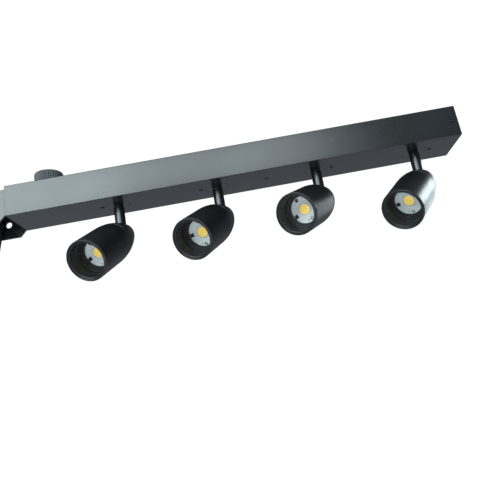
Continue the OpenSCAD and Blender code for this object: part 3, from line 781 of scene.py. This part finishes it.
class SPOTBAR_OT_barrels(bpy.types.Operator):
    """Smooth barrels with a rounded rim and the slot that the stem swings in"""

    bl_idname = "spotbar.barrels"
    bl_label = "Barrels"

    def execute(self, context):
        head = context.scene.spotbar_head
        for i in HEADS:
            head_r, seam, front = reach(f"barrel_{i}", i)
            # The curve narrows towards the rear face of the cap, where the cap's last points are
            points = head_points(f"rear_cap_{i}", i)
            rear = points[:, 2].min()
            back = points[points[:, 2] < rear + 0.01 * MM]
            rear_r = np.hypot(back[:, 0], back[:, 1]).max() + REAR_SPARE
            # Places along the head, closer together round the slot's end and the groove
            w, g, d = head.slot_r, head.groove_s, head.groove_w
            s = np.concatenate([np.linspace(seam, 0, 9)[:-1], w * np.sin(np.linspace(0, np.pi / 2, 14)),
                                np.linspace(w, g - d, 12)[1:], [g - d / 2, g + d / 2],
                                np.linspace(g + d, head.taper_start, 14),
                                np.linspace(head.taper_start, front - head.rim, 12)[1:]])
            groove = (np.abs(s - g) < d * GROOVE_SHARE) * d * GROOVE_SHARE
            r = barrel_radius(s, head_r, rear_r, rear, head.taper_start) - groove
            q = np.linspace(0, np.pi / 2, 7)[1:]
            rim = np.column_stack([head_r - head.rim * (1 - np.cos(q)), front - head.rim * (1 - np.sin(q))])
            outer = np.concatenate([np.column_stack([r, s]), rim])
            inner_r = head_r - head.wall
            inner = np.concatenate([np.column_stack([r - head.wall, s]),
                                    [(inner_r, front - RIM_INNER), (inner_r + RIM_INNER, front)]])
            part = slotted_shell(outer, inner, w, head_axes(i), HEAD_SEGMENTS)
            make_piece(f"barrel_shell_{i}", [part], "powder_coated_barrel", f"head_{i}",
                       [f"barrel_{i}"], sharp=40)
        return {"FINISHED"}


class SPOTBAR_OT_baffles(bpy.types.Operator):
    """Deep black tubes with soft edges and stepped rings at their inner end"""

    bl_idname = "spotbar.baffles"
    bl_label = "Baffles"

    def execute(self, context):
        head = context.scene.spotbar_head
        for i in HEADS:
            outer_r, inner_end, front = reach(f"baffle_{i}", i)
            bore = outer_r - BAFFLE_WALL
            stairs = [(bore - (BAFFLE_STEPS - k - c) * head.step_in, inner_end + (k + 1) * head.step_l)
                      for k in range(BAFFLE_STEPS) for c in (0, 1)]
            corners = [(outer_r, front), (outer_r, inner_end),
                       (bore - BAFFLE_STEPS * head.step_in, inner_end), *stairs,
                       (bore, front - BAFFLE_CHAMFER), (bore + BAFFLE_CHAMFER, front)]
            radii = MM * np.array([0.3, 0.2, 0.2] + [0.16] * len(stairs) + [0.3, 0.3])
            part = turned(rounded(corners, radii, 3), head_axes(i), HEAD_SEGMENTS)
            make_piece(f"baffle_tube_{i}", [part], "matt_baffle", f"head_{i}",
                       [f"baffle_{i}"])
        return {"FINISHED"}


def polar(radius, degrees, height, axes):
    """Axes at a place on a holder: X runs outwards from the middle, Z out of the head."""
    a = math.radians(degrees)
    origin, (x, y, z) = axes
    out, side = math.cos(a) * x + math.sin(a) * y, -math.sin(a) * x + math.cos(a) * y
    return origin + radius * out + height * z, np.stack([out, side, z])


def screw_parts(axes, radius, height):
    """A pan head with a cross slot: a low dome h (1 - 0.55 (r/R)^4), and the cross that cuts its slot."""
    r = np.linspace(0, radius, 12)
    dome = np.column_stack([r, height * (1 - 0.55 * (r / radius) ** 4)])
    profile = np.concatenate([[[0, 0]], [[radius, 0]], dome[::-1]])
    long, thin = 0.62 * radius, 0.14 * radius
    arm = np.array([(long, -thin), (long, thin), (thin, thin)])
    quarter = np.array([[0, 1], [-1, 0]])
    cross = np.concatenate([arm @ np.linalg.matrix_power(quarter, k) for k in range(4)])
    return [turned(profile, axes, 40, closed=False)], [drawn_out(cross, axes, 0.45 * height, 2 * height)]


def holder(i, axes, turn):
    """White holder: rim, face with a shallow groove, slope down to the emitter, and two screw wells."""
    radius, rear, face = reach(f"led_holder_{i}", i)
    chip_r = reach(f"led_chip_{i}", i)[0]
    open_r = chip_r + 0.2 * MM
    corners = [(open_r, rear), (radius, rear), (radius, face - HOLDER_EDGE), (radius - HOLDER_EDGE, face),
               *[(r * MM, face - depth * MM) for r, depth in FACE_GROOVE],
               (chip_r + SLOPE_W, face), (open_r, face - SLOPE_DEPTH)]
    radii = MM * np.array([0.05, 0.05, 0.2, 0.2, 0.05, 0.05, 0.05, 0.05, 0.3, 0.1])
    floor, over = face - WELL_DEPTH, face + 1 * MM
    well = np.array([(0, floor), (WELL_R, floor), (WELL_R, over), (0, over)])
    wells = [turned(well, polar(SCREW_PLACE, turn + side, 0, axes), 40, closed=False) for side in (-90, 90)]
    make_piece(f"led_board_{i}", [turned(rounded(corners, radii, 3), axes, 96)], "moulded_white_plastic",
               f"head_{i}", [f"led_holder_{i}"], cut_by=wells)
    return face


def emitter(i, axes):
    """Yellow dome h - f (r/R)^2, f being how far it falls, inside a rounded dam of white silicone."""
    rear = reach(f"led_holder_{i}", i)[1]
    chip_r, _, chip_top = reach(f"led_chip_{i}", i)
    r = np.linspace(0, chip_r - DAM_W, 14)
    edge = r[-1]
    dome = np.column_stack([r, chip_top - DOME_FALL * (r / edge) ** 2])[::-1]
    profile = np.concatenate([[(0, rear), (edge, rear)], dome])
    make_piece(f"emitter_{i}", [turned(profile, axes, 64, closed=False)], "phosphor_silicone",
               f"head_{i}", [f"led_chip_{i}"])
    inside, dam_top = edge + 0.02 * MM, chip_top - DAM_DROP
    dam = rounded([(inside, rear), (chip_r, rear), (chip_r, dam_top), (inside, dam_top)],
                  MM * np.array([0.05, 0.05, 0.45, 0.45]))
    make_piece(f"emitter_dam_{i}", [turned(dam, axes, 64)], "moulded_white_plastic",
               f"head_{i}")


def holder_fittings(i, axes, turn, face):
    """The two screws in the wells, the black connector, and the wire hook, a half circle out of the face."""
    body = f"head_{i}"
    for name, side, finish, slot in (("dark", -90, "blackened_steel", "dark_screw"),
                                     ("bright", 90, "zinc_plate", "zinc_steel")):
        foot = polar(SCREW_PLACE, turn + side, face - WELL_DEPTH + 0.05 * MM, axes)
        solid, slots = screw_parts(foot, SCREW_R, SCREW_H)
        make_piece(f"holder_screw_{name}_{i}", solid, finish, body, cut_by=slots)
    x, y, height = PLUG_SIZE
    outline = rounded([(-x, -y), (x, -y), (x, y), (-x, y)], 0.3 * MM)
    plug = drawn_out(outline, polar(PLUG_PLACE, turn, 0, axes), face + 0.02 * MM, face + height)
    make_piece(f"board_connector_{i}", [plug], "matt_baffle", body)
    a = np.linspace(0, np.pi, 15)
    bow = np.column_stack([HOOK_HALF * np.cos(a), 0 * a, HOOK_RISE * np.sin(a)])
    path = place(bow, polar(HOOK_PLACE, turn + HOOK_TURN, face - 0.2 * MM, axes))
    make_piece(f"board_hook_{i}", [tube(path, HOOK_R)], "zinc_plate", body)


class SPOTBAR_OT_boards(bpy.types.Operator):
    """LED holders with their screws, connector and wire hook, and the emitters in their dams"""

    bl_idname = "spotbar.boards"
    bl_label = "LED holders and emitters"

    def execute(self, context):
        for i, turn in zip(HEADS, context.scene.spotbar_head.board_turns):
            axes = head_axes(i)
            face = holder(i, axes, math.degrees(turn))
            emitter(i, axes)
            holder_fittings(i, axes, math.degrees(turn), face)
        return {"FINISHED"}


# ---------------------------------------------------------------- studio

# Floor: half its width, how far it lies under the fixture, and its glow in what the fixture mirrors and
# where it is looked at. The backdrop's glow goes with it.
FLOOR_HALF = 30.0
FLOOR_DROP = 0.55
FLOOR_GLOW = (0.25, 1.2)
BACKDROP_GLOW = 1.05
COOL = "#e4f3f6"
NEUTRAL = "#fafdff"
# Heads that the lights beyond the far end reach, each with its share of the rear light
LIT_HEADS = ((3, 0.6), (4, 1.45))
LIT_PARTS = ("barrel_shell", "rear_cap", "stem")
# Camera: where it stands, the direction it looks in, which way is up to it, and its sensor's width
CAMERA_SPOT = (0.3228, -0.6642, -0.2862)
CAMERA_LOOK = (0.0069, 0.9651, 0.2618)
CAMERA_UP = (0.1776, -0.2589, 0.9494)
SENSOR = 36.0


def make_room(scene, fill):
    """World: white where it is looked at, and a dim room in what the fixture mirrors."""
    world = bpy.data.worlds.new("studio_room")
    scene.world = world
    world.use_nodes = True
    tree = world.node_tree
    tree.nodes.clear()
    seen = add(tree, "ShaderNodeLightPath").outputs["Is Camera Ray"]
    room = add(tree, "ShaderNodeBackground", {"Color": srgb("#dfe8f2"), "Strength": fill})
    backdrop = add(tree, "ShaderNodeBackground", {"Color": srgb("#ffffff"), "Strength": BACKDROP_GLOW})
    both = add(tree, "ShaderNodeMixShader", {0: seen, 1: room.outputs[0], 2: backdrop.outputs[0]})
    add(tree, "ShaderNodeOutputWorld", {"Surface": both.outputs[0]})


def make_floor():
    """Wide plain floor under the fixture, in matt paint."""
    # Matt white paint: pale, with a trace of roller texture. White where it is looked at, as an overexposed
    # floor is, and dim and slightly blue in what the fixture mirrors.
    tree, where, out = new_finish("painted_studio_floor")
    fine = grain(tree, where, 6 * MM)
    colour = blend(tree, spread(tree, fine, 0, 1), srgb("#b6babd"), srgb("#c0c3c6"))
    tree.links.new(colour, out.inputs["Base Color"])
    out.inputs["Roughness"].default_value = 0.9
    seen = add(tree, "ShaderNodeLightPath").outputs["Is Camera Ray"]
    out.inputs["Emission Color"].default_value = srgb("#f1f1ff")
    tree.links.new(spread(tree, seen, *FLOOR_GLOW, 0, 1), out.inputs["Emission Strength"])
    mesh = bpy.data.meshes.new("studio_floor")
    z = float(CAD_LOW[2]) - FLOOR_DROP
    corners = [(x * FLOOR_HALF, y * FLOOR_HALF, z) for x, y in ((-1, -1), (1, -1), (1, 1), (-1, 1))]
    mesh.from_pydata(corners, [], [(0, 1, 2, 3)])
    mesh.materials.append(MATERIALS["painted_studio_floor"])
    add_object("studio_floor", mesh)


def softbox(name, place_at, aim, size, watts, colour, only=None):
    """A rectangular light of that width and height, turned to the aim. It may reach one collection only."""
    data = bpy.data.lights.new(name, "AREA")
    data.shape, data.size, data.size_y, data.energy = "RECTANGLE", *size, watts
    data.color = srgb(colour)[:3]
    light = add_object(name, data)
    light.location = Vector(place_at)
    light.rotation_euler = (Vector(aim) - Vector(place_at)).to_track_quat("-Z", "Y").to_euler()
    light.light_linking.receiver_collection = only


def make_camera(scene, lens):
    """Camera low in front of the bar's middle, looking up a little, and rolled so that the bar rises."""
    data = bpy.data.cameras.new("camera")
    data.lens, data.sensor_width = lens, SENSOR
    data.clip_start, data.clip_end = 0.01, 100.0
    camera = add_object("camera", data)
    look, up = Vector(CAMERA_LOOK).normalized(), Vector(CAMERA_UP)
    right = look.cross(up).normalized()
    up = right.cross(look)
    rows = [(right[k], up[k], -look[k], CAMERA_SPOT[k]) for k in range(3)]
    camera.matrix_world = Matrix(rows + [(0, 0, 0, 1)])
    scene.camera = camera


class SPOTBAR_OT_studio(bpy.types.Operator):
    """Floor, soft lights, and the camera low in front of the bar"""

    bl_idname = "spotbar.studio"
    bl_label = "Studio"

    def execute(self, context):
        studio, scene = context.scene.spotbar_studio, context.scene
        scene.view_settings.view_transform = "Standard"
        make_room(scene, studio.fill)
        make_floor()
        middle = (np.array(CAD_LOW) + np.array(CAD_HIGH)) / 2
        softbox("key_softbox", middle + [-0.85, -1.3, 0.68], middle, (1.2, 0.9), studio.key_power, COOL)
        softbox("middle_softbox", middle + [0.11, -1.5, 0.72], middle, (0.7, 0.8), studio.middle_power, COOL)
        softbox("low_softbox", middle + [-0.5, -1.0, -0.5], middle, (0.4, 0.4), studio.low_power, NEUTRAL)
        for i, share in LIT_HEADS:
            lit = bpy.data.collections.new(f"lit_head_{i}")
            for name in LIT_PARTS:
                lit.objects.link(bpy.data.objects[f"{name}_{i}"])
            softbox(f"end_softbox_{i}", middle + [1.02, 0.24, 0.24], middle + [0.2, 0, -0.05], (0.32, 0.3),
                    studio.end_power, COOL, lit)
            softbox(f"rear_softbox_{i}", middle + [0.82, 0.56, 0.12], middle + [0.25, 0, -0.05],
                    (0.45, 0.35), studio.rim_power * share, COOL, lit)
        make_camera(scene, studio.lens)
        return {"FINISHED"}


class SPOTBAR_PT_panel(bpy.types.Panel):
    """Sizes, colours and steps of the spot bar"""

    bl_label = "Spot Bar"
    bl_idname = "SPOTBAR_PT_panel"
    bl_space_type = "VIEW_3D"
    bl_region_type = "UI"
    bl_category = "Spot Bar"

    def draw(self, context):
        for label, settings in GROUPS:
            box = self.layout.box()
            box.label(text=label)
            group = getattr(context.scene, settings)
            for name in group.__annotations__:
                box.prop(group, name)
        for step in STEPS:
            self.layout.operator(step.bl_idname)


GROUPS = (("Colours", "spotbar_look"), ("Bar", "spotbar_bar"), ("Heads", "spotbar_head"),
          ("Knob and lever", "spotbar_knob"), ("Studio", "spotbar_studio"))
GROUP_CLASSES = (SPOTBAR_PG_look, SPOTBAR_PG_bar, SPOTBAR_PG_head, SPOTBAR_PG_knob, SPOTBAR_PG_studio)
STEPS = (SPOTBAR_OT_finishes, SPOTBAR_OT_bar, SPOTBAR_OT_knob, SPOTBAR_OT_lever, SPOTBAR_OT_locknuts,
         SPOTBAR_OT_barrels, SPOTBAR_OT_baffles, SPOTBAR_OT_boards, SPOTBAR_OT_studio)


def register():
    """Registers the settings, the steps and the panel."""
    for cls in (*GROUP_CLASSES, *STEPS, SPOTBAR_PT_panel):
        bpy.utils.register_class(cls)
    for (_, settings), cls in zip(GROUPS, GROUP_CLASSES):
        setattr(bpy.types.Scene, settings, bpy.props.PointerProperty(type=cls))


def unregister():
    """Removes the panel, the steps and the settings."""
    for _, settings in GROUPS:
        delattr(bpy.types.Scene, settings)
    for cls in reversed((*GROUP_CLASSES, *STEPS, SPOTBAR_PT_panel)):
        bpy.utils.unregister_class(cls)


def main():
    """Builds the whole fixture and its studio."""
    register()
    for step in STEPS:
        group, name = step.bl_idname.split(".")
        getattr(getattr(bpy.ops, group), name)()


if __name__ == "__main__":
    main()
